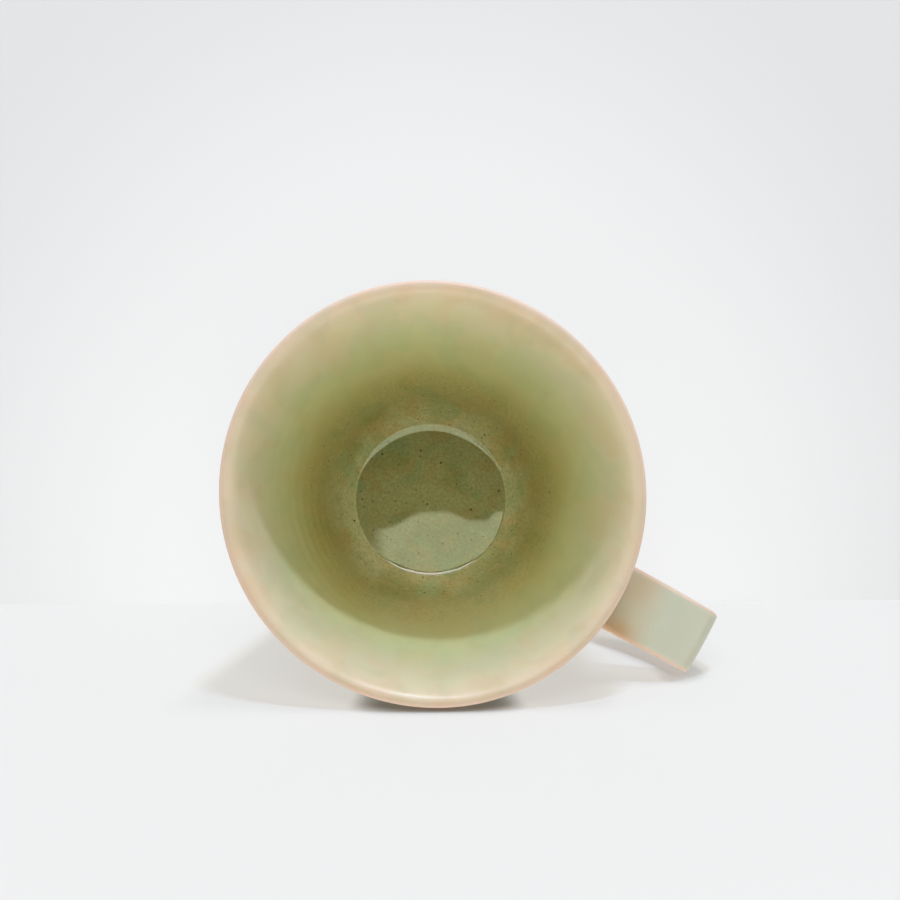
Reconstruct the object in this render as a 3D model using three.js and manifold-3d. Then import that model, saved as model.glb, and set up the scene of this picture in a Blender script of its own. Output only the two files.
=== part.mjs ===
// Hand-thrown stoneware mug with a strap handle. Millimetres, +Z up.
// The mug stands on z = 0 with its axis on Z, and the handle points along +X.
import * as THREE from 'three';
import { mergeVertices } from 'three/addons/utils/BufferGeometryUtils.js';
import Module from 'manifold-3d';

// Body
const RIM_RADIUS = 46.0;          // widest point of the lip
const HEIGHT = 78.0;
const LIP_RADIUS = 1.85;          // the lip is a full round of this radius
const FOOT_RADIUS = 25.8;         // where the trimmed foot meets the wall
const FOOT_HEIGHT = 2.4;
const BASE_RADIUS = 24.2;         // flat, unglazed face under the foot
const WALL_HOLLOW = 0.8;          // how far the outside falls short of a straight cone
const FLOOR_RADIUS = 18.95;       // flat disc inside
const FLOOR_THICKNESS = 7.2;
const WALL_THICKNESS_LOW = 4.5;
const CURVE_TOP = 26.0;           // height where the inner curve becomes the wall
const FLOOR_EDGE_ANGLE = 30;      // degrees, the slope that leaves the floor disc
const TURNS = 80;                 // facets round the body

// Handle
const STRAP_WIDTH = 15.2;
const STRAP_THICKNESS = 5.0;
const STRAP_EDGE = 1.0;           // rounding along the four long edges
const ARM_TOP_X = 57.2;           // crown of the upper arm, where the bend starts
const ARM_TOP_Z = 59.8;
const BEND_X = 66.0;              // where the bend ends
const BEND_Z = 52.6;
const LEG_ANGLE = 61.5;           // degrees, slope of the leg under the bend
const LOW_X = 27.5;               // centre of the strap at its lower end, inside the wall
const LOW_Z = 21.6;
const LOW_ANGLE = 13.0;           // degrees, slope of the strap as it reaches the wall
const UP_X = 35.0;                // centre of the strap at its upper end, inside the wall
const UP_Z = 57.6;
const UP_ANGLE = 9.0;             // degrees, rise of the arm as it leaves the wall

// Joints
const JOINT_REACH = 3.6;          // along the strap, from the wall
const JOINT_FOOT = 2.3;           // how far it spreads past the strap at the wall
const JOINT_TOE = 0.55;           // how thick it is at its outer end
const GAP = 0.3;                  // between neighbouring pieces

const wasm = await Module();
wasm.setup();

const DEG = Math.PI / 180;
const wallSpan = HEIGHT - LIP_RADIUS - FOOT_HEIGHT;

function outerRadius(z) {
  const s = (z - FOOT_HEIGHT) / wallSpan;
  const cone = FOOT_RADIUS + (RIM_RADIUS - FOOT_RADIUS) * s;
  return cone - WALL_HOLLOW * Math.sin(Math.PI * Math.min(Math.max(s, 0), 1));
}

function innerRadius(z) {
  const s = (z - CURVE_TOP) / (HEIGHT - LIP_RADIUS - CURVE_TOP);
  return outerRadius(z) - (WALL_THICKNESS_LOW * (1 - s) + 2 * LIP_RADIUS * s);
}

function bezier(p0, p1, p2, p3, t) {
  const u = 1 - t;
  const mix = (k) => u * u * u * p0[k] + 3 * u * u * t * p1[k]
    + 3 * u * t * t * p2[k] + t * t * t * p3[k];
  return [mix(0), mix(1)];
}

// Outline of the outside from the middle of the base up to the widest point of the lip
function outsideOutline() {
  const out = [[0, 0], [BASE_RADIUS, 0], [BASE_RADIUS + 0.75, 0.4],
    [BASE_RADIUS + 1.25, 1.2], [FOOT_RADIUS, FOOT_HEIGHT]];
  for (let i = 1; i <= 12; i++) {
    const z = FOOT_HEIGHT + (wallSpan * i) / 12;
    out.push([outerRadius(z), z]);
  }
  return out;
}

function insideOutline() {
  const out = [];
  const top = HEIGHT - LIP_RADIUS;
  for (let i = 0; i < 9; i++) {
    const z = top + ((CURVE_TOP - top) * i) / 9;
    out.push([innerRadius(z), z]);
  }
  const slope = (innerRadius(CURVE_TOP + 1) - innerRadius(CURVE_TOP));
  const p3 = [innerRadius(CURVE_TOP), CURVE_TOP];
  const p2 = [p3[0] - slope * 7.7, CURVE_TOP - 7.7];
  const p0 = [FLOOR_RADIUS, FLOOR_THICKNESS];
  const p1 = [FLOOR_RADIUS + 6 * Math.cos(FLOOR_EDGE_ANGLE * DEG),
    FLOOR_THICKNESS + 6 * Math.sin(FLOOR_EDGE_ANGLE * DEG)];
  for (let i = 0; i <= 10; i++) out.push(bezier(p3, p2, p1, p0, i / 10));
  out.push([0, FLOOR_THICKNESS]);
  return out;
}

function lipOutline() {
  const out = [];
  const cx = RIM_RADIUS - LIP_RADIUS;
  const cz = HEIGHT - LIP_RADIUS;
  for (let i = 1; i < 10; i++) {
    const a = (Math.PI * i) / 10;
    out.push([cx + LIP_RADIUS * Math.cos(a), cz + LIP_RADIUS * Math.sin(a)]);
  }
  return out;
}

function lathe(outline) {
  const points = outline.map(([r, z]) => new THREE.Vector2(r, z));
  const geometry = new THREE.LatheGeometry(points, TURNS);
  geometry.rotateX(Math.PI / 2);
  return geometry;
}

function welded(geometry) {
  geometry.deleteAttribute('normal');
  geometry.deleteAttribute('uv');
  return mergeVertices(geometry, 1e-4);
}

function solid(geometry) {
  const g = welded(geometry);
  return new wasm.Manifold(new wasm.Mesh({
    numProp: 3,
    vertProperties: Float32Array.from(g.attributes.position.array),
    triVerts: Uint32Array.from(g.index.array),
  }));
}

function toGeometry(manifold) {
  const mesh = manifold.getMesh();
  const g = new THREE.BufferGeometry();
  g.setAttribute('position', new THREE.BufferAttribute(Float32Array.from(mesh.vertProperties), 3));
  g.setIndex(new THREE.BufferAttribute(Uint32Array.from(mesh.triVerts), 1));
  g.computeVertexNormals();
  return g;
}

// Centre line of the strap in the XZ plane, as evenly spaced points
function strapPath() {
  const leg = [-Math.cos(LEG_ANGLE * DEG), -Math.sin(LEG_ANGLE * DEG)];
  const low = [Math.cos(LOW_ANGLE * DEG), Math.sin(LOW_ANGLE * DEG)];
  const up = [Math.cos(UP_ANGLE * DEG), Math.sin(UP_ANGLE * DEG)];
  const start = [UP_X, UP_Z];
  const a = [ARM_TOP_X, ARM_TOP_Z];
  const b = [BEND_X, BEND_Z];
  const c = [LOW_X, LOW_Z];
  const raw = [];
  for (let i = 0; i <= 12; i++) {
    raw.push(bezier(start, [start[0] + up[0] * 8, start[1] + up[1] * 8],
      [a[0] - 7, a[1]], a, i / 12));
  }
  for (let i = 1; i <= 16; i++) {
    raw.push(bezier(a, [a[0] + 7.2, a[1]], [b[0] - leg[0] * 4.6, b[1] - leg[1] * 4.6], b, i / 16));
  }
  for (let i = 1; i <= 22; i++) {
    raw.push(bezier(b, [b[0] + leg[0] * 12, b[1] + leg[1] * 12],
      [c[0] + low[0] * 20, c[1] + low[1] * 20], c, i / 22));
  }
  return raw;
}

// Rounded rectangle: u across the thickness, v across the width
function strapSection(grow) {
  const hu = STRAP_THICKNESS / 2 + grow;
  const hv = STRAP_WIDTH / 2 + grow;
  const r = STRAP_EDGE + grow;
  const out = [];
  for (const [su, sv, start] of [[1, 1, 0], [-1, 1, 90], [-1, -1, 180], [1, -1, 270]]) {
    for (let i = 0; i <= 4; i++) {
      const a = (start + (90 * i) / 4) * DEG;
      out.push([su * (hu - r) + r * Math.cos(a), sv * (hv - r) + r * Math.sin(a)]);
    }
  }
  return out;
}

// Sweeps sections (one per path point, all with the same count) into a closed solid
function sweep(path, sectionAt) {
  const verts = [];
  const tris = [];
  const n = sectionAt(0).length;
  path.forEach(([x, z], i) => {
    const p = path[Math.max(i - 1, 0)];
    const q = path[Math.min(i + 1, path.length - 1)];
    const len = Math.hypot(q[0] - p[0], q[1] - p[1]);
    const nx = -(q[1] - p[1]) / len;
    const nz = (q[0] - p[0]) / len;
    for (const [u, v] of sectionAt(i)) verts.push(x + nx * u, v, z + nz * u);
  });
  for (let i = 0; i + 1 < path.length; i++) {
    for (let j = 0; j < n; j++) {
      const k = (j + 1) % n;
      const a = i * n + j;
      const b = i * n + k;
      tris.push(a, b, a + n, b, b + n, a + n);
    }
  }
  const last = (path.length - 1) * n;
  for (let j = 1; j + 1 < n; j++) {
    tris.push(0, j + 1, j);
    tris.push(last, last + j, last + j + 1);
  }
  const make = (order) => new wasm.Manifold(new wasm.Mesh({
    numProp: 3,
    vertProperties: Float32Array.from(verts),
    triVerts: Uint32Array.from(order),
  }));
  const first = make(tris);
  if (first.volume() > 0) return first;
  const flipped = [];
  for (let i = 0; i < tris.length; i += 3) flipped.push(tris[i], tris[i + 2], tris[i + 1]);
  return make(flipped);
}

// Everything inside the outer wall, grown by the gap
function bodyEnvelope() {
  const outline = outsideOutline().map(([r, z]) => (r > 0 ? [r + GAP, z] : [r, z]));
  outline.push([0, HEIGHT - LIP_RADIUS]);
  return solid(lathe(outline));
}

const path = strapPath();
const envelope = bodyEnvelope();
const handleSolid = sweep(path, () => strapSection(0)).subtract(envelope);

// Clay wiped into the corner between strap and wall: thick at the wall, thin at its outer end
function joint(points) {
  const start = points[0];
  const wall = points.find(([x, z]) => x > outerRadius(z));
  const dense = [];
  const dir = [wall[0] - start[0], wall[1] - start[1]];
  const len = Math.hypot(dir[0], dir[1]);
  const reachIn = 3.5;
  const wallX = outerRadius(wall[1]);
  const t0 = (wallX - start[0]) / dir[0];
  const base = [start[0] + dir[0] * t0, start[1] + dir[1] * t0];
  const steps = 12;
  for (let i = 0; i <= steps; i++) {
    const d = -reachIn + ((reachIn + JOINT_REACH) * i) / steps;
    dense.push([base[0] + (dir[0] / len) * d, base[1] + (dir[1] / len) * d, d]);
  }
  const spread = (d) => {
    const s = Math.min(Math.max(1 - d / JOINT_REACH, 0), 1.25);
    return GAP + JOINT_TOE + (JOINT_FOOT - JOINT_TOE) * s * s;
  };
  const collar = sweep(dense.map(([x, z]) => [x, z]), (i) => strapSection(spread(dense[i][2])));
  const hole = sweep(points, () => strapSection(GAP));
  return collar.subtract(hole).subtract(envelope);
}

const group = new THREE.Group();
group.name = 'ceramic_mug';

function add(name, geometry, colour, roughness) {
  const material = new THREE.MeshStandardMaterial({ color: colour, roughness, metalness: 0 });
  const mesh = new THREE.Mesh(geometry, material);
  mesh.name = name;
  group.add(mesh);
}

const bodySolid = solid(lathe([...outsideOutline(), ...lipOutline(), ...insideOutline()]));
add('mug_body', toGeometry(bodySolid), 0xa8a57a, 0.12);
add('handle', toGeometry(handleSolid), 0xb7b08a, 0.14);
add('upper_joint', toGeometry(joint(path)), 0xb4a97f, 0.16);
add('lower_joint', toGeometry(joint([...path].reverse())), 0xb4a97f, 0.16);

export default group;
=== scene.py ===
import math

import bpy
import numpy as np
from mathutils import Matrix, Vector


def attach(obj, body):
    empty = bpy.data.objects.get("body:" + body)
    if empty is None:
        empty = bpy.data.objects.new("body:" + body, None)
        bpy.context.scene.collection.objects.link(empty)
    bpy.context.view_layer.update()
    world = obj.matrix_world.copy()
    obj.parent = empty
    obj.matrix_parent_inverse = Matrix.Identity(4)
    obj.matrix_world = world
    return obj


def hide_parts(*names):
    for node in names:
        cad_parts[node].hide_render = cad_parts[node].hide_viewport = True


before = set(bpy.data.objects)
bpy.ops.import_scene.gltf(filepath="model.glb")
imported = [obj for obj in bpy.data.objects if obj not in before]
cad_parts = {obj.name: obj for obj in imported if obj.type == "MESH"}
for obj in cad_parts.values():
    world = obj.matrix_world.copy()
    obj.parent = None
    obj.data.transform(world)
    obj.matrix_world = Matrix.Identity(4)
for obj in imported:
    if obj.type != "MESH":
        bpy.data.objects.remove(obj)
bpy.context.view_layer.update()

MM = 0.001
TAU = 2 * math.pi

# Body, in millimetres, as in the CAD model
RIM_RADIUS = 46.0
HEIGHT = 78.0
LIP_RADIUS = 1.85
FOOT_RADIUS = 25.8
FOOT_HEIGHT = 2.4
BASE_RADIUS = 24.2
WALL_HOLLOW = 0.8
WALL_LOW = 4.5
CURVE_TOP = 26.0
FLOOR_RADIUS = 18.95
FLOOR_THICKNESS = 7.2
WALL_SPAN = HEIGHT - LIP_RADIUS - FOOT_HEIGHT

# What the CAD model leaves out: the lip's soft inner side, the hand-made unevenness, the glaze
LIP_CREST = 44.6              # radius of the highest line of the lip
LIP_START = 73.4              # heights where the lip's curve leaves the outer and the inner wall
LIP_END = 65.0
FLOOR_EDGE_ANGLE = math.radians(30)
FLOOR_CORNER = 0.22           # and the small radius between it and the inner floor
POOL_SLOPE = 0.085            # how steeply the pooled glaze climbs to the wall
BEVEL_WIDTH = 0.75            # and the bevel it forms on the other side
BEVEL_SLOPE = 0.22
RIM_OVAL = 0.4                # the rim is pulled this much out of round
OVAL_ANGLE = math.radians(-15.5)
GLAZE_LINE = 4.6              # height where the outside glaze stops
COLUMNS = 288

# Handle, in millimetres, as in the CAD model
STRAP_WIDTH = 15.2
STRAP_THICKNESS = 5.0
STRAP_EDGE = 1.0
HANDLE_UP = ((35.0, 57.6), math.radians(9.0))
HANDLE_TOP = (57.2, 59.8)
HANDLE_BEND = ((66.0, 52.6), math.radians(61.5))
HANDLE_LOW = ((27.5, 21.6), math.radians(13.0))

# View, in the mug's frame
HANDLE_IN_VIEW = math.radians(29.1)   # the handle points this far below level in the picture
LEAN = math.radians(15.056)           # the second floor against the mug's axis
CAMERA_PITCH = math.radians(12.326)
CAMERA_YAW = math.radians(1.0015)
FLOOR_GAP = 0.35 * MM                 # that floor lies this much lower, for a dark line at the contact
CAMERA_LENS = 75.0
CAMERA_SENSOR = 36.0
CAMERA_AT = Vector((2.027, -10.142, 474.946)) * MM

PICTURE_RIGHT = Vector((math.cos(HANDLE_IN_VIEW), math.sin(HANDLE_IN_VIEW), 0))
PICTURE_UP = Vector((-math.sin(HANDLE_IN_VIEW), math.cos(HANDLE_IN_VIEW), 0))
AXIS = Vector((0, 0, 1))
SECOND_UP = PICTURE_UP * math.cos(LEAN) + AXIS * math.sin(LEAN)       # normal of the second floor
SECOND_ALONG = -PICTURE_UP * math.sin(LEAN) + AXIS * math.cos(LEAN)   # along it, towards the camera
UP_ANGLE = math.pi / 2 + HANDLE_IN_VIEW                               # picture up, round the axis

# Papers: colour, colour of their own glow (painted fill light), how much of it is gone far away (painted
# falloff), and its contact distance (painted contact shade)
TABLE_PAPER = ((0.32, 0.32, 0.32), (0.522, 0.516, 0.511), 0.27, 0.5 * MM)
SWEEP_PAPER = ((0.250, 0.255, 0.245), (0.512, 0.492, 0.474), 0.04, 4.5 * MM)
PAPER_REACH = 2.0
FADE_RANGE = (60 * MM, 160 * MM)      # distance from the mug over which the glow fades
SEAM_RANGE = (12 * MM, 35 * MM)       # in front of the papers' seam, where contact starts to count
HANDLE_RANGE = (29 * MM, 36 * MM)     # to the right, where contact nearly stops counting

# Lamps: name, degrees from the axis up the picture and to its right, distance, width and height in
# metres, radiance, colour
LAMPS = [
    ("key", 67.7, 6, 3.0, 0.42, 0.15, 190.0, (0.79, 1.0, 1.42)),
    ("overhead", 86, 10, 3.0, 1.20, 0.32, 28.0, (1, 1, 1)),
    ("ceiling", 38, -8, 1.5, 1.10, 0.70, 3.3, (1, 1, 1)),
    ("strip", 25, 0, 1.0, 0.55, 0.08, 7.5, (1, 1, 1)),
]
GLOW_HEIGHT = 0.9
GLOW_RADIANCE = 4.1
GLOW_COLOUR = (0.90, 1.0, 0.68)
STAGE_WHITE = 0.87                    # brightness of what the camera sees past the papers


# ---- shape -----------------------------------------------------------------------------------

def outer_radius(z):
    s = (z - FOOT_HEIGHT) / WALL_SPAN
    cone = FOOT_RADIUS + (RIM_RADIUS - FOOT_RADIUS) * s
    return cone - WALL_HOLLOW * np.sin(np.pi * np.clip(s, 0, 1))


def inner_radius(z):
    s = (z - CURVE_TOP) / (HEIGHT - LIP_RADIUS - CURVE_TOP)
    return outer_radius(z) - (WALL_LOW * (1 - s) + 2 * LIP_RADIUS * s)


def smooth(x, low, high):
    t = np.clip((x - low) / (high - low), 0, 1)
    return t * t * (3 - 2 * t)


def bezier(p0, p1, p2, p3, count=60):
    t = np.linspace(0, 1, count)
    u = 1 - t
    ps = [np.asarray(p, float) for p in (p0, p1, p2, p3)]
    return (u ** 3 * ps[0][:, None] + 3 * u * u * t * ps[1][:, None]
            + 3 * u * t * t * ps[2][:, None] + t ** 3 * ps[3][:, None]).T


def resample(points, pitch):
    """Evenly spaced points along a polyline, ends kept."""
    steps = np.hypot(*np.diff(points, axis=0).T)
    s = np.concatenate([[0], np.cumsum(steps)])
    n = max(int(round(s[-1] / pitch)), 2)
    t = np.linspace(0, s[-1], n + 1)
    return np.stack([np.interp(t, s, points[:, 0]), np.interp(t, s, points[:, 1])], 1)


BASE, OUTSIDE, LIP, INSIDE, FLOOR = range(5)


def wall_line(radius, low, high):
    z = np.linspace(low, high, 160)
    return np.stack([radius(z), z], 1)


def floor_line(outer, inner):
    return np.array([[outer, FLOOR_THICKNESS], [inner, FLOOR_THICKNESS]])


def lip_curves():
    """Outer side up to the crest, then the longer, softer inner side."""
    start = (float(outer_radius(LIP_START)), LIP_START)
    end = (float(inner_radius(LIP_END)), LIP_END)
    inner_slope = float(inner_radius(LIP_END + 1) - inner_radius(LIP_END))
    crest = (LIP_CREST, HEIGHT)
    outer = bezier(start, (start[0] + 1.1, start[1] + 3.4), (LIP_CREST + 1.45, HEIGHT), crest)
    inner = bezier(crest, (LIP_CREST - 2.3, HEIGHT), (end[0] + 7.0 * inner_slope, LIP_END + 7.0), end)
    return outer, inner


def body_outline():
    """The half section from the middle of the base, out, up, over the lip and back in.

    Gives points (r, z) and for each its zone.
    """
    lip_out, lip_in = lip_curves()
    foot = bezier((BASE_RADIUS - 0.3, 0), (BASE_RADIUS + 0.9, 0.0), (FOOT_RADIUS - 0.35, 0.9),
                  (FOOT_RADIUS, FOOT_HEIGHT))
    slope = float(inner_radius(CURVE_TOP + 1) - inner_radius(CURVE_TOP))
    wall_end = (float(inner_radius(CURVE_TOP)), CURVE_TOP)
    edge_run, edge_rise = math.cos(FLOOR_EDGE_ANGLE), math.sin(FLOOR_EDGE_ANGLE)
    edge = (FLOOR_RADIUS + FLOOR_CORNER * edge_run, FLOOR_THICKNESS + FLOOR_CORNER * edge_rise)
    curve = bezier(wall_end, (wall_end[0] - slope * 7.0, CURVE_TOP - 7.0),
                   (edge[0] + 5 * edge_run, edge[1] + 5 * edge_rise), edge, 120)
    fillet = bezier(edge, (FLOOR_RADIUS, FLOOR_THICKNESS), (FLOOR_RADIUS, FLOOR_THICKNESS),
                    (FLOOR_RADIUS - FLOOR_CORNER, FLOOR_THICKNESS))
    parts = [
        (np.array([[0.05, 0.0], [BASE_RADIUS - 0.3, 0.0]]), 1.6, BASE),
        (foot, 0.3, OUTSIDE),
        (wall_line(outer_radius, FOOT_HEIGHT, LIP_START), 0.62, OUTSIDE),
        (lip_out, 0.26, LIP),
        (lip_in, 0.36, LIP),
        (wall_line(inner_radius, LIP_END, CURVE_TOP), 0.62, INSIDE),
        (curve, 0.42, INSIDE),
        (fillet, 0.07, INSIDE),
        (floor_line(FLOOR_RADIUS - FLOOR_CORNER, FLOOR_RADIUS - 3), 0.15, FLOOR),
        (floor_line(FLOOR_RADIUS - 3, 0.05), 0.5, FLOOR),
    ]
    points, zones = [], []
    for i, (line, pitch, zone) in enumerate(parts):
        line = resample(line, pitch)[0 if i == 0 else 1:]
        points.append(line)
        zones += [zone] * len(line)
    return np.vstack(points), np.array(zones)


def waves(theta, z, seed, count, around, along):
    """Smooth noise of about unit size on the wall, from a few sine waves."""
    rng = np.random.default_rng(seed)
    out = np.zeros(np.broadcast(theta, z).shape)
    for _ in range(count):
        k = rng.integers(0, around + 1)
        out += np.sin(k * theta + rng.uniform(-along, along) * z + rng.uniform(0, TAU))
    return out / math.sqrt(count / 2)


def ring_relief(theta, z, seed, pitch, height):
    """The spiral ridges that fingers leave, uneven in pitch and height."""
    drift = 0.9 * waves(theta, z, seed, 6, 2, 0.12)
    phase = TAU * z / pitch + theta + drift
    size = 0.55 + 0.45 * waves(theta, z, seed + 1, 6, 3, 0.15)
    fine = 0.22 * np.sin(TAU * z / (pitch * 0.31) + theta + 2 * drift)
    return height * (size * np.sin(phase) + fine)


def pool_lift(theta, r, zone, z):
    """How far the glaze pooled on the inner floor climbs before it meets the wall.

    The mug was not quite level in the kiln: the climb is wide on one side, and on the opposite side it
    is a narrow bevel.
    """
    side = np.cos(theta - UP_ANGLE)
    width = 0.30 + 2.1 * smooth(side, 0.35, 1.0)
    climb = 0.5 * POOL_SLOPE * width
    bevel = BEVEL_WIDTH * smooth(-side, 0.70, 0.93)
    on_floor = climb * np.clip((r - FLOOR_RADIUS + FLOOR_CORNER + width) / width, 0, 1) ** 2
    on_floor = on_floor + BEVEL_SLOPE * np.clip(r - FLOOR_RADIUS + FLOOR_CORNER + bevel, 0, bevel)
    at_edge = (climb + BEVEL_SLOPE * bevel) * (1 - smooth(z, FLOOR_THICKNESS + 1, FLOOR_THICKNESS + 8))
    return np.where(zone == FLOOR, on_floor, np.where(zone == INSIDE, at_edge, 0.0))


def body_points(theta, outline, zone):
    """Places of all points, and the share of bare clay and the height of the relief at each."""
    r0, z0 = outline[:, 0][:, None], outline[:, 1][:, None]
    tangent = np.gradient(outline, axis=0)
    tangent /= np.hypot(*tangent.T)[:, None]
    out_r, out_z = tangent[:, 1][:, None], -tangent[:, 0][:, None]

    # Finger rings, strongest half way up, gone at the lip and near the inner floor
    up = smooth(z0, 4, 16) * (1 - smooth(z0, 64, 73))
    relief = (zone == OUTSIDE) * up * ring_relief(theta, z0, 11, 6.4, 0.12)
    within = smooth(r0, 21, 27) * (1 - smooth(z0, 56, 65))
    relief = relief + (zone == INSIDE) * within * ring_relief(theta, z0 + 1.7, 23, 5.2, 0.022)

    # The outside glaze stops short of the foot in a soft, wavy roll
    line = GLAZE_LINE + 0.45 * waves(theta, 0 * z0, 5, 5, 7, 0)
    bare = np.where(zone <= OUTSIDE, 1 - smooth(z0, line - 0.12, line + 0.12), 0.0)
    roll = 0.16 * np.exp(-((z0 - line - 0.7) / 0.75) ** 2)
    relief = relief + (zone == OUTSIDE) * (roll - 0.12 * bare)

    r = r0 + out_r * relief
    z = z0 + out_z * relief + pool_lift(theta, r0, zone, z0)

    # A rim that is slightly oval, and wavy on top
    oval = RIM_OVAL * (np.cos(2 * (theta - OVAL_ANGLE)) - 1)
    oval = oval + 0.05 * (waves(theta, 0 * z0, 31, 4, 4, 0) - 1)
    r = np.maximum(r + smooth(z0, 2, 76) * np.minimum(r0, 1) * oval, 0.04)
    z = z + smooth(z0, 60, 78) * 0.22 * (waves(theta, 0 * z0, 41, 4, 3, 0) - 1.6)
    return r, z, bare, relief


# Thinness of the glaze at heights up the inner wall, and at radii over the lip
INNER_THINNESS = ((7, 0.08), (10, 0.13), (20, 0.24), (30, 0.33), (42, 0.46), (56, 0.60), (66, 0.72),
                  (74, 0.82), (78, 0.88))
LIP_THINNESS = ((40, 0.72), (LIP_CREST - 1.5, 0.78), (LIP_CREST, 0.86), (RIM_RADIUS - 0.5, 1.0))


def thinness(zone, z, r):
    """How thin the glaze lies: 0 where it pools, 1 where it runs off the lip."""
    inside = np.interp(z, *zip(*INNER_THINNESS))
    outside = 0.58 + 0.30 * smooth(z, 66, 74) - 0.12 * (1 - smooth(z, 4, 12))
    lip = np.interp(r, *zip(*LIP_THINNESS))
    return np.select([zone == FLOOR, zone == INSIDE, zone == LIP], [0.0 * z, inside, lip], outside)


def mesh_object(name, verts, faces, attributes, material):
    mesh = bpy.data.meshes.new(name)
    mesh.from_pydata([tuple(v) for v in verts], [], faces)
    mesh.validate()
    for key, values in attributes.items():
        layer = mesh.attributes.new(key, "FLOAT", "POINT")
        layer.data.foreach_set("value", np.asarray(values, np.float32))
    mesh.polygons.foreach_set("use_smooth", [True] * len(mesh.polygons))
    mesh.materials.append(material)
    mesh.update()
    obj = bpy.data.objects.new(name, mesh)
    bpy.context.scene.collection.objects.link(obj)
    return obj


def tube_faces(rows, columns, close_start, close_end):
    """Quads between closed rings of points, and a fan at each end to one extra point."""
    faces = []
    for i in range(rows - 1):
        for j in range(columns):
            k = (j + 1) % columns
            faces.append((i * columns + j, i * columns + k, (i + 1) * columns + k,
                          (i + 1) * columns + j))
    last = (rows - 1) * columns
    for j in range(columns):
        k = (j + 1) % columns
        faces.append((close_start, k, j))
        faces.append((close_end, last + j, last + k))
    return faces


def build_body(material):
    outline, zones = body_outline()
    zone = zones[:, None]
    theta = np.linspace(0, TAU, COLUMNS, endpoint=False)[None, :]
    r, z, bare, relief = body_points(theta, outline, zone)
    x, y = r * np.cos(theta), r * np.sin(theta)
    verts = np.stack([x, y, z], -1).reshape(-1, 3)
    verts = np.vstack([verts, [[0, 0, 0], [0, 0, FLOOR_THICKNESS]]]) * MM

    def layer(values, at_base, at_floor):
        return np.append(np.broadcast_to(values, x.shape).ravel(), [at_base, at_floor])

    line_r, line_z = outline[:, 0][:, None], outline[:, 1][:, None]
    outward = (zone <= OUTSIDE) * 1.0 + (zone == LIP) * smooth(line_r, LIP_CREST, RIM_RADIUS - 0.4)
    attributes = {
        "thin": layer(thinness(zone, line_z, line_r), 0.5, 0),
        "ridge": layer(np.clip(0.5 + relief / 0.4, 0, 1), 0.5, 0.5),
        "bare": layer(bare, 1, 0),
        "outer": layer(outward, 1, 0),
        "tan_and_shade": layer(0.0, 0, 0),
    }
    faces = tube_faces(len(outline), COLUMNS, len(verts) - 2, len(verts) - 1)
    body = mesh_object("glazed_body", verts, faces, attributes, material)
    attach(body, "root")
    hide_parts("mug_body")
    return body


def strap_path():
    """Centre line of the strap in the XZ plane."""
    up, up_angle = HANDLE_UP
    top = HANDLE_TOP
    bend, leg_angle = HANDLE_BEND
    low, low_angle = HANDLE_LOW
    rise = (math.cos(up_angle), math.sin(up_angle))
    leg = (-math.cos(leg_angle), -math.sin(leg_angle))
    back = (math.cos(low_angle), math.sin(low_angle))
    arm = bezier(up, (up[0] + rise[0] * 8, up[1] + rise[1] * 8), (top[0] - 7, top[1]), top)
    turn = bezier(top, (top[0] + 7.2, top[1]), (bend[0] - leg[0] * 4.6, bend[1] - leg[1] * 4.6), bend)
    down = bezier(bend, (bend[0] + leg[0] * 12, bend[1] + leg[1] * 12),
                  (low[0] + back[0] * 20, low[1] + back[1] * 20), low, 120)
    return resample(np.vstack([arm, turn[1:], down[1:]]), 0.5)


def strap_section():
    """Points (u, v) round the strap: u across its thickness, v across its width."""
    hu, hv, r = STRAP_THICKNESS / 2, STRAP_WIDTH / 2, STRAP_EDGE
    line = []
    for su, sv, start in ((1, 1, 0), (-1, 1, 90), (-1, -1, 180), (1, -1, 270)):
        for a in np.radians(np.linspace(start, start + 90, 14)):
            line.append((su * (hu - r) + r * math.cos(a), sv * (hv - r) + r * math.sin(a)))
    line.append(line[0])
    points = resample(np.array(line), 0.42)[:-1]
    # the two faces are slightly crowned across the width
    on_face = np.abs(points[:, 0]) > hu - r
    points[:, 0] -= np.sign(points[:, 0]) * on_face * 0.16 * (points[:, 1] / hv) ** 2
    return points


def on_wall(points, sink):
    """Points moved along their radius onto the outer wall, sunk a little."""
    want = outer_radius(points[:, 2]) - sink
    out = points.copy()
    out[:, :2] *= (want / np.hypot(points[:, 0], points[:, 1]))[:, None]
    return out


def wall_normal(points):
    z = points[:, 2]
    slope = outer_radius(z + 0.5) - outer_radius(z - 0.5)
    r = np.hypot(points[:, 0], points[:, 1])
    n = np.stack([points[:, 0] / r, points[:, 1] / r, -slope], 1)
    return n / np.linalg.norm(n, axis=1)[:, None]


def flare(hit, along, size):
    """Rings that carry the strap's skin round into the wall, from the strap to the wall.

    hit: where each line of the strap meets the wall. along: its direction, away from the wall.
    """
    n = wall_normal(hit)
    out = hit - hit.mean(axis=0)
    out -= n * np.sum(out * n, axis=1)[:, None]
    out /= np.linalg.norm(out, axis=1)[:, None]
    start = hit + along * size[:, None]
    end = on_wall(hit + out * size[:, None], 0.12)
    rings = [(1 - t) ** 2 * start + 2 * t * (1 - t) * hit + t * t * end for t in np.linspace(0, 1, 12)]
    return rings + [on_wall(end + out * 0.25, 0.5), on_wall(end, 1.4)]


def leave_wall(rings):
    """Where each line of the strap leaves the wall, and in which direction, going along the rings."""
    gap = np.hypot(rings[..., 0], rings[..., 1]) - outer_radius(rings[..., 2])
    first = (gap > 0).argmax(axis=0)
    column = np.arange(rings.shape[1])
    a, b = rings[first - 1, column], rings[first, column]
    gap_a, gap_b = gap[first - 1, column], gap[first, column]
    hit = a + (b - a) * (-gap_a / (gap_b - gap_a))[:, None]
    along = (b - a) / np.linalg.norm(b - a, axis=1)[:, None]
    return hit, along, int(first.max())


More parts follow.
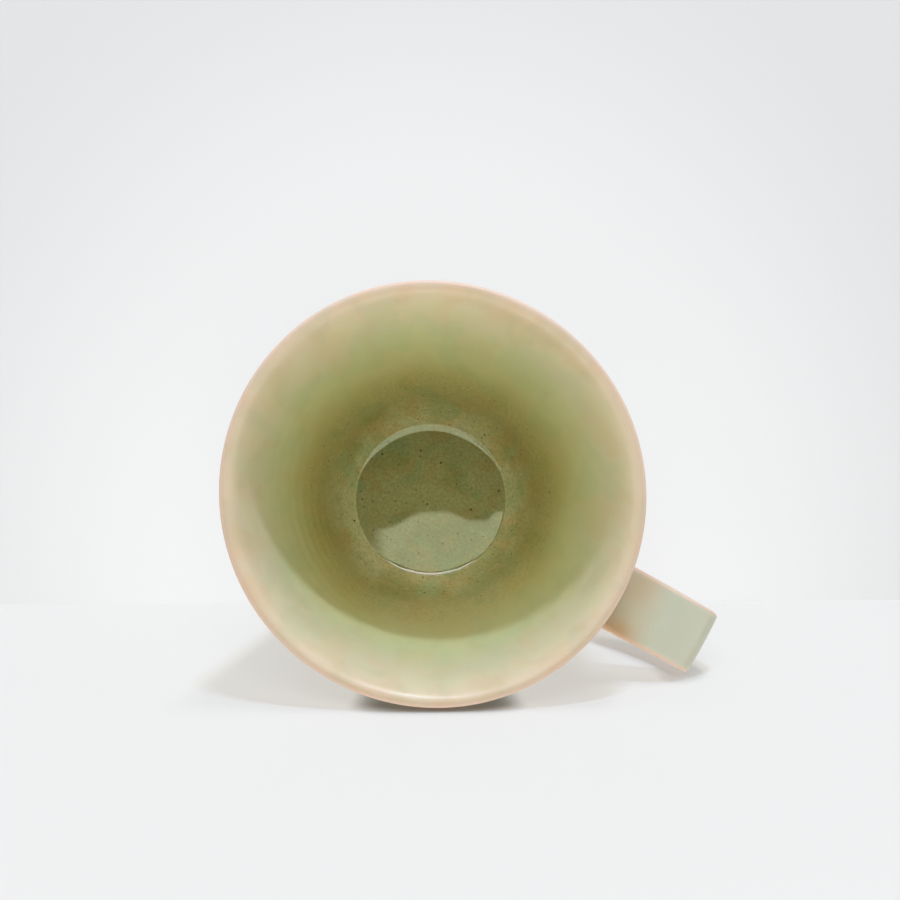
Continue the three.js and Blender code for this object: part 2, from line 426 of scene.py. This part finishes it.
def strap_rings(path, section):
    """The section swept along the path, never quite even in width or thickness."""
    tangent = np.gradient(path, axis=0)
    tangent /= np.hypot(*tangent.T)[:, None]
    rings = []
    for (x, z), (tx, tz), t in zip(path, tangent, np.linspace(0, 1, len(path))):
        u = section[:, 0] * (1 + 0.05 * math.sin(5.1 * t + 0.6))
        v = section[:, 1] * (0.985 + 0.012 * math.sin(9.0 * t + 1.1)) + 0.1 * math.sin(6 * t)
        rings.append(np.stack([x - tz * u - 0.08, v, z + tx * u], 1))
    return np.array(rings)


def build_handle(material):
    section = strap_section()
    rings = strap_rings(strap_path(), section)
    angle = np.arctan2(section[:, 1] / STRAP_WIDTH, section[:, 0] / STRAP_THICKNESS)
    hit_up, along_up, skip_up = leave_wall(rings)
    hit_low, along_low, skip_low = leave_wall(rings[::-1])
    upper = flare(hit_up, along_up, 3.0 + 0.5 * np.sin(angle + 0.7) + 0.3 * np.sin(3 * angle))
    lower = flare(hit_low, along_low, 3.3 + 0.6 * np.sin(angle * 2 + 2.0))
    free = list(rings[skip_up + 8:len(rings) - skip_low - 9])
    all_rings = upper[::-1] + free + lower
    caps = [on_wall(ring.mean(axis=0)[None, :], 1.6) for ring in (all_rings[0], all_rings[-1])]
    verts = np.vstack(all_rings + caps)

    # The glaze is thinnest along the strap's edges, and tan where it runs off round the joints; this tan
    # is also painted shade next to the wall, stronger on the strap's side that is lower in the picture
    half = STRAP_WIDTH / 2
    thin = 0.60 + 0.40 * smooth(np.abs(section[:, 1]), half - 1.4, half - 0.2)
    off_wall = np.hypot(verts[:, 0], verts[:, 1]) - outer_radius(verts[:, 2])
    low_side = smooth(-verts[:, 1], 0.2 * half, half)
    attributes = {
        "thin": np.append(np.tile(thin, len(all_rings)), [0.6, 0.6]),
        "ridge": np.full(len(verts), 0.5),
        "bare": np.zeros(len(verts)),
        "outer": np.ones(len(verts)),
        "tan_and_shade": (1 - smooth(off_wall, 7.0, 17.0)) * (0.55 + 0.75 * low_side),
    }
    faces = tube_faces(len(all_rings), len(section), len(verts) - 2, len(verts) - 1)
    handle = mesh_object("strap_handle", verts * MM, faces, attributes, material)
    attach(handle, "root")
    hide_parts("handle", "upper_joint", "lower_joint")
    return handle


# ---- materials -------------------------------------------------------------------------------

class Nodes:
    """Short names for making and joining shader nodes."""

    def __init__(self, owner):
        owner.use_nodes = True
        self.owner = owner
        self.tree = owner.node_tree
        self.tree.nodes.clear()

    def put(self, kind, inputs=None, **options):
        node = self.tree.nodes.new(kind)
        for key, value in options.items():
            setattr(node, key, value)
        for key, value in (inputs or {}).items():
            if isinstance(value, bpy.types.NodeSocket):
                self.tree.links.new(value, node.inputs[key])
            else:
                node.inputs[key].default_value = value
        return node

    def math(self, operation, a, b=0.0):
        return self.put("ShaderNodeMath", {0: a, 1: b}, operation=operation).outputs[0]

    def times(self, a, b):
        return self.math("MULTIPLY", a, b)

    def plus(self, a, b):
        return self.math("ADD", a, b)

    def vector(self, operation, inputs, output="Vector"):
        return self.put("ShaderNodeVectorMath", inputs, operation=operation).outputs[output]

    def attribute(self, name):
        return self.put("ShaderNodeAttribute", attribute_name=name).outputs["Fac"]

    def remap(self, value, low, high, to_low=0.0, to_high=1.0):
        node = self.put("ShaderNodeMapRange", {"Value": value, "From Min": low, "From Max": high,
                                               "To Min": to_low, "To Max": to_high},
                        interpolation_type="SMOOTHSTEP")
        return node.outputs["Result"]

    def ramp(self, value, stops):
        node = self.put("ShaderNodeValToRGB", {0: value})
        elements = node.color_ramp.elements
        while len(elements) < len(stops):
            elements.new(0.5)
        for element, (position, colour) in zip(elements, stops):
            element.position, element.color = position, (*colour, 1.0)
        return node.outputs[0]

    def mix(self, factor, a, b, blend="MIX"):
        node = self.put("ShaderNodeMix", data_type="RGBA", blend_type=blend)
        for socket, value in ((node.inputs[0], factor), (node.inputs[6], a), (node.inputs[7], b)):
            if isinstance(value, bpy.types.NodeSocket):
                self.tree.links.new(value, socket)
            elif isinstance(value, tuple):
                socket.default_value = (*value, 1.0)
            else:
                socket.default_value = value
        return node.outputs[2]

    def noise(self, vector, scale, detail=2.0, rough=0.5, distortion=0.0):
        return self.put("ShaderNodeTexNoise", {"Vector": vector, "Scale": scale, "Detail": detail,
                                               "Roughness": rough, "Distortion": distortion}).outputs[0]

    def dots(self, vector, scale, share, size):
        """Round spots in this share of the cells, largest this much of a cell in radius."""
        cells = self.put("ShaderNodeTexVoronoi", {"Vector": vector, "Scale": scale})
        pick = self.put("ShaderNodeSeparateColor", {0: cells.outputs["Color"]}).outputs[0]
        radius = self.remap(pick, 1 - share, 1.0, 0.0001, size)
        return self.remap(self.math("DIVIDE", cells.outputs["Distance"], radius), 1.0, 0.4)

    def finish(self, shader):
        out = self.put("ShaderNodeOutputMaterial")
        self.tree.links.new(shader.outputs[0], out.inputs[0])
        return self.owner


# The glaze from where it pools to where it runs thin, as linear albedos
CELADON = [
    (0.00, (0.36, 0.35, 0.145)),
    (0.10, (0.620, 0.590, 0.310)),
    (0.24, (0.500, 0.450, 0.175)),
    (0.38, (0.540, 0.490, 0.190)),
    (0.50, (0.590, 0.575, 0.275)),
    (0.60, (0.575, 0.570, 0.305)),
    (0.74, (0.605, 0.535, 0.352)),
    (0.77, (0.577, 0.480, 0.330)),
    (0.81, (0.559, 0.443, 0.300)),
    (0.87, (0.548, 0.415, 0.280)),
    (1.00, (0.490, 0.325, 0.225)),
]
PALE_CELADON = [
    (0.40, (0.35, 0.36, 0.22)),
    (0.62, (0.46, 0.46, 0.36)),
    (0.84, (0.52, 0.46, 0.35)),
    (1.00, (0.60, 0.43, 0.325)),
]
# TAN also paints the shade next to the wall round the handle's joints
TAN = (0.46, 0.26, 0.12)              # where the glaze runs off round the handle's joints
RIDGE_TINT = (0.548, 0.415, 0.280)    # on the crests of the finger rings
BROWN_CLOUD = (1.0, 0.86, 0.74)
GREEN_CLOUD = (0.76, 0.91, 0.85)
IRON = (0.045, 0.035, 0.015)
DARK_CLAY = (0.40, 0.24, 0.14)
PALE_CLAY = (0.62, 0.43, 0.28)
GLAZE_IOR = 1.52


def wander(n, thin, outer, broad, patch):
    """How far the glaze's thickness strays, so that its bands of colour have soft, uneven edges."""
    stray = n.plus(n.times(n.math("SUBTRACT", patch, 0.5), 0.12),
                   n.times(n.math("SUBTRACT", broad, 0.5), 0.22))
    stray = n.times(stray, n.remap(thin, 0.02, 0.3))
    stray = n.times(stray, n.remap(outer, 0.0, 1.0, 1.0, 0.6))
    return n.times(stray, n.remap(thin, 0.48, 0.74, 1.0, 0.35))


def clouds(n, colour, thin, outer, patch, runs):
    """Brown and green clouds, strongest where the glaze pools."""
    brown = n.remap(patch, 0.47, 0.62)
    green = n.remap(n.noise(runs, 0.12, 2, 0.5, 0.5), 0.48, 0.62)
    strong = n.times(n.remap(thin, 0.45, 0.10, 0.30, 0.8), n.remap(outer, 0.0, 1.0, 1.0, 0.5))
    colour = n.mix(n.times(brown, strong), colour, BROWN_CLOUD, "MULTIPLY")
    return n.mix(n.times(green, strong), colour, GREEN_CLOUD, "MULTIPLY")


def grain(n, colour, mm, thin):
    """A fine mottle in the thick glaze."""
    light = n.remap(n.noise(mm, 1.4, 3, 0.6), 0.32, 0.68, 0.86, 1.12)
    light = n.put("ShaderNodeCombineColor", {0: light, 1: light, 2: light}).outputs[0]
    return n.mix(n.remap(thin, 0.46, 0.30), colour, light, "MULTIPLY")


def iron_specks(n, colour, mm, thin, specks):
    """Dark specks in two sizes, most of them where the glaze is thick."""
    large = n.times(n.dots(mm, 0.50, specks, 0.20), 0.92)
    small = n.times(n.dots(mm, 0.80, 0.9 * specks, 0.26), 0.60)
    iron = n.times(n.math("MAXIMUM", large, small), n.remap(thin, 0.46, 0.32))
    return n.mix(iron, colour, IRON)


def gloss(n, mm, thin, bare):
    """Roughness: glassy where the glaze pools, satin on the wall, softer on the lip, matt bare clay."""
    uneven = n.remap(n.noise(mm, 0.5, 2), 0.3, 0.7, 0.97, 1.12)
    rough = n.times(uneven, n.remap(thin, 0.02, 0.20, 0.018, 0.31))
    rough = n.plus(rough, n.remap(thin, 0.76, 0.88, 0.0, 0.24))
    return n.plus(rough, n.times(bare, 0.72))


def skin(n, mm, outer, bare, sand):
    """Height of the surface in millimetres: a soft ripple, orange peel outside, and sandy clay."""
    ripple = n.times(n.noise(mm, 0.30, 0, 0.4), 0.009)
    ripple = n.times(ripple, n.remap(outer, 0.0, 1.0, 0.12, 1.0))
    peel = n.times(n.times(n.noise(mm, 1.1, 1), 0.0006), outer)
    return n.plus(n.plus(ripple, peel), n.times(n.times(sand, bare), 0.12))


def glaze(name, specks):
    """Glossy celadon whose colour follows its thickness, with iron specks and bare clay below it."""
    n = Nodes(bpy.data.materials.new(name))
    where = n.put("ShaderNodeTexCoord").outputs["Object"]
    mm = n.vector("SCALE", {0: where, 3: 1000.0})
    runs = n.vector("MULTIPLY", {0: mm, 1: (1, 1, 0.35)})
    thin, bare, outer = n.attribute("thin"), n.attribute("bare"), n.attribute("outer")
    broad = n.noise(runs, 0.06, 2, 0.5, 0.4)
    patch = n.noise(runs, 0.16, 2, 0.5, 0.4)

    level = n.plus(thin, wander(n, thin, outer, broad, patch))
    colour = n.mix(outer, n.ramp(level, CELADON), n.ramp(level, PALE_CELADON))
    colour = clouds(n, colour, thin, outer, patch, runs)
    # tan run-off round the handle's joints, partly painted shade next to the wall
    tan_and_shade_share = n.times(n.attribute("tan_and_shade"), n.remap(broad, 0.30, 0.60, 0.6, 1.0))
    colour = n.mix(tan_and_shade_share, colour, TAN)
    colour = grain(n, colour, mm, thin)
    crest = n.times(n.remap(n.attribute("ridge"), 0.5, 1.0), 0.25)
    colour = n.mix(crest, colour, RIDGE_TINT)
    colour = iron_specks(n, colour, mm, thin, specks)

    sand = n.noise(mm, 2.6, 5, 0.7)
    clay = n.mix(n.remap(sand, 0.35, 0.68), DARK_CLAY, PALE_CLAY)
    colour = n.mix(bare, colour, clay)

    height = skin(n, mm, outer, bare, sand)
    bump = n.put("ShaderNodeBump", {"Strength": 1.0, "Distance": MM, "Height": height})
    shader = n.put("ShaderNodeBsdfPrincipled", {"Base Color": colour, "Normal": bump.outputs[0],
                                                "Roughness": gloss(n, mm, thin, bare)})
    shader.inputs["IOR"].default_value = GLAZE_IOR
    return n.finish(shader)


# ---- stage, light and camera -----------------------------------------------------------------

def aim(obj, at, forward, up):
    right = forward.cross(up).normalized()
    true_up = right.cross(forward).normalized()
    turn = Matrix((right, true_up, -forward.normalized())).transposed()
    obj.matrix_world = Matrix.Translation(at) @ turn.to_4x4()


def make_camera():
    data = bpy.data.cameras.new("camera")
    data.lens, data.sensor_width = CAMERA_LENS, CAMERA_SENSOR
    data.clip_start, data.clip_end = 0.01, 20.0
    cam = bpy.data.objects.new("camera", data)
    bpy.context.scene.collection.objects.link(cam)
    level = -SECOND_ALONG * math.cos(CAMERA_YAW) + PICTURE_RIGHT * math.sin(CAMERA_YAW)
    forward = level * math.cos(CAMERA_PITCH) - SECOND_UP * math.sin(CAMERA_PITCH)
    aim(cam, CAMERA_AT, forward, SECOND_UP)
    bpy.context.scene.camera = cam


def stage_mesh(name, verts, faces, material):
    mesh = bpy.data.meshes.new(name)
    mesh.from_pydata([tuple(v) for v in verts], [], faces)
    mesh.materials.append(material)
    obj = bpy.data.objects.new(name, mesh)
    bpy.context.scene.collection.objects.link(obj)
    return obj


def sheet(name, centre, side_a, side_b, material):
    corners = [centre - side_a - side_b, centre + side_a - side_b, centre + side_a + side_b,
               centre - side_a + side_b]
    stage_mesh(name, corners, [(0, 1, 2, 3)], material)


def open_air(n, where, contact):
    """Painted contact shade on the paper's glow: 1 in the open, less where a piece is nearer than
    contact; not at the seam, little at the handle.
    """
    air = n.put("ShaderNodeAmbientOcclusion", {"Distance": contact}, samples=8).outputs["AO"]
    ahead = n.vector("DOT_PRODUCT", {0: where, 1: tuple(SECOND_ALONG)}, "Value")
    beside = n.vector("DOT_PRODUCT", {0: where, 1: tuple(PICTURE_RIGHT)}, "Value")
    near_seam = n.remap(ahead, *SEAM_RANGE, 1.0, 0.0)
    near_handle = n.remap(beside, *HANDLE_RANGE, 0.0, 0.75)
    air = n.math("MAXIMUM", n.remap(air, 0.24, 0.95), near_seam)
    return n.math("MAXIMUM", air, near_handle)


def paper(name, white, glow, fade, contact):
    """White paper with a painted glow that stands in for fill light, weaker far from the mug as a painted
    falloff.
    """
    n = Nodes(bpy.data.materials.new(name))
    diffuse = n.put("ShaderNodeBsdfDiffuse", {"Color": (*white, 1)})
    where = n.put("ShaderNodeTexCoord").outputs["Object"]
    away = n.vector("LENGTH", {0: where}, "Value")
    # the glow is painted fill light, cut near the pieces as painted contact shade and fading far away
    strength = n.times(open_air(n, where, contact), n.remap(away, *FADE_RANGE, 1.0, 1.0 - fade))
    light = n.put("ShaderNodeEmission", {"Color": (*glow, 1), "Strength": strength})
    return n, n.put("ShaderNodeAddShader", {0: diffuse.outputs[0], 1: light.outputs[0]})


def seen_from_front_only(n, shader):
    """Paper that the camera sees from its front, and that is not there for light and reflections."""
    front = n.math("SUBTRACT", 1.0, n.put("ShaderNodeNewGeometry").outputs["Backfacing"])
    seen = n.math("MULTIPLY", front, n.put("ShaderNodeLightPath").outputs["Is Camera Ray"])
    clear = n.put("ShaderNodeBsdfTransparent")
    return n.put("ShaderNodeMixShader", {0: seen, 1: clear.outputs[0], 2: shader.outputs[0]})


def towards(n, direction, low, high, at_low, at_high):
    """A number that turns from at_low to at_high as the ray turns towards this direction."""
    ray = n.put("ShaderNodeTexCoord").outputs["Generated"]
    along = n.vector("DOT_PRODUCT", {0: ray, 1: tuple(direction)}, "Value")
    return n.remap(along, low, high, at_low, at_high)


def make_stage(*pieces):
    """The table under the mug, and the second floor that its rim and handle rest on."""
    lowest = 0.0
    for piece in pieces:
        coords = np.empty(len(piece.data.vertices) * 3)
        piece.data.vertices.foreach_get("co", coords)
        lowest = min(lowest, float((coords.reshape(-1, 3) @ np.array(SECOND_UP)).min()))
    n, shader = paper("table_paper", *TABLE_PAPER)
    across, along = Vector((PAPER_REACH, 0, 0)), Vector((0, PAPER_REACH, 0))
    sheet("table", Vector((0, 0, 0)), across, along, n.finish(shader))
    n, shader = paper("sweep_paper", *SWEEP_PAPER)
    sheet("sweep", SECOND_UP * (lowest - FLOOR_GAP), SECOND_ALONG * PAPER_REACH,
          PICTURE_RIGHT * PAPER_REACH, n.finish(seen_from_front_only(n, shader)))


def from_axis(degrees, aside):
    """A direction this far from the mug's axis, up the picture, and then to the picture's right."""
    a, b = math.radians(degrees), math.radians(aside)
    return (AXIS * math.cos(a) + PICTURE_UP * math.sin(a)) * math.cos(b) + PICTURE_RIGHT * math.sin(b)


def lamp(name, direction, distance, width, height, radiance, colour):
    """A soft rectangular lamp of this radiance, which the mug sees in this direction."""
    data = bpy.data.lights.new(name, "AREA")
    data.shape = "RECTANGLE"
    data.size, data.size_y = width, height
    data.energy, data.color = radiance * math.pi * width * height, colour
    obj = bpy.data.objects.new(name, data)
    bpy.context.scene.collection.objects.link(obj)
    aim(obj, Vector((0, 0, 0.05)) + direction * distance, -direction, PICTURE_UP)


def glow_panel():
    """A bright patch far behind the camera, with soft, uneven edges, that the inner floor reflects."""
    across = np.linspace(-0.036, 0.20, 119)
    top = -0.003 + 0.0125 * smooth(across, -0.031, 0.004)
    top = top - 0.0062 * smooth(across, 0.018, 0.036) + 0.0062 * smooth(across, 0.046, 0.054)
    level = smooth(across, -0.036, -0.025)
    verts, glow = [], []
    for x, t, side in zip(across, top, level):
        for down, share in ((t + 0.0015, 0), (t - 0.0015, side), (-0.13, side)):
            verts.append(AXIS * GLOW_HEIGHT + PICTURE_RIGHT * x + PICTURE_UP * down)
            glow.append(share)
    faces = []
    for i in range(0, len(verts) - 3, 3):
        faces += [(i, i + 3, i + 4, i + 1), (i + 1, i + 4, i + 5, i + 2)]
    n = Nodes(bpy.data.materials.new("window_glow"))
    bright = tuple(GLOW_RADIANCE * c for c in GLOW_COLOUR)
    colour = n.mix(n.attribute("glow"), (0.8, 0.8, 0.8), bright)
    light = n.put("ShaderNodeEmission", {"Color": colour, "Strength": 1.0})
    panel = stage_mesh("window_glow", verts, faces, n.finish(light))
    panel.data.attributes.new("glow", "FLOAT", "POINT").data.foreach_set("value", glow)


def make_world():
    """Even light from the front half of the studio, brighter where the white floor would throw it up.

    What the camera sees past the stage is as white as the stage.
    """
    world = bpy.data.worlds.new("studio")
    n = Nodes(world)
    bright = towards(n, SECOND_UP, -0.15, 0.10, 1.30, 0.14)
    bright = n.math("ADD", bright, towards(n, AXIS, 0.2, 0.6, 0.72, 0.0))
    seen = n.put("ShaderNodeLightPath").outputs["Is Camera Ray"]
    bright = n.put("ShaderNodeMix", {0: seen, 2: bright, 3: STAGE_WHITE}).outputs[0]
    light = n.put("ShaderNodeBackground", {"Color": (1.0, 1.0, 0.97, 1), "Strength": bright})
    out = n.put("ShaderNodeOutputWorld")
    n.tree.links.new(light.outputs[0], out.inputs[0])
    bpy.context.scene.world = world


def make_light():
    bpy.context.scene.view_settings.view_transform = "Standard"
    make_world()
    for name, up, aside, *shape in LAMPS:
        lamp(name, from_axis(up, aside), *shape)
    glow_panel()


body = build_body(glaze("celadon_glaze", specks=0.6))
handle = build_handle(glaze("celadon_handle_glaze", specks=0.12))
make_stage(body, handle)
make_light()
make_camera()
